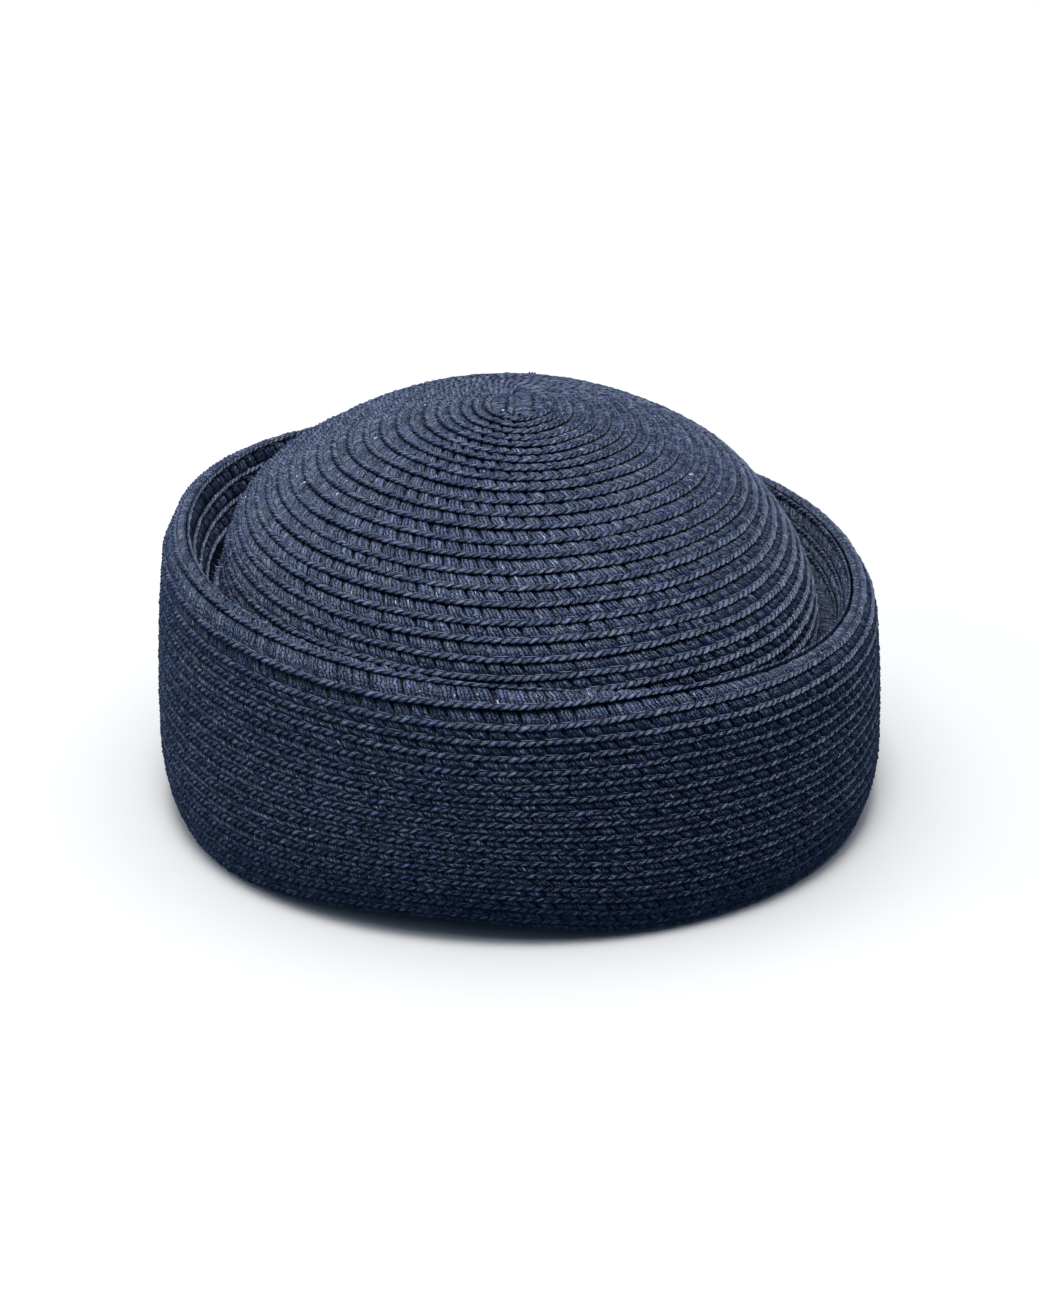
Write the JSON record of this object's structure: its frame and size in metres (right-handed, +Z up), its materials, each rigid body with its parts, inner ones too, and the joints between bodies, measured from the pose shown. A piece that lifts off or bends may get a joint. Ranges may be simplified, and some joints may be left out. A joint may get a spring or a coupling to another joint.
{
  "type": "pillbox hat",
  "caption": "Navy pillbox hat of spiral-sewn paper-straw braid, with a low dome crown, a shallow groove behind a folded rim and an open underside for the head.",
  "frame": {"origin": "middle of the hem's plane, where the hat rests", "axes": "+Z up through the crown, -Y towards the front, +X to the right seen from the front"},
  "size_m": [0.1788, 0.1976, 0.0954],
  "materials": {
    "straw_braid": "navy paper-straw braid, slightly glossy flat strands in short bundles with a plaited ridge along one edge of each row"
  },
  "bodies": {
    "root": {"braid_shell": "straw_braid"}
  },
  "joints": []
}
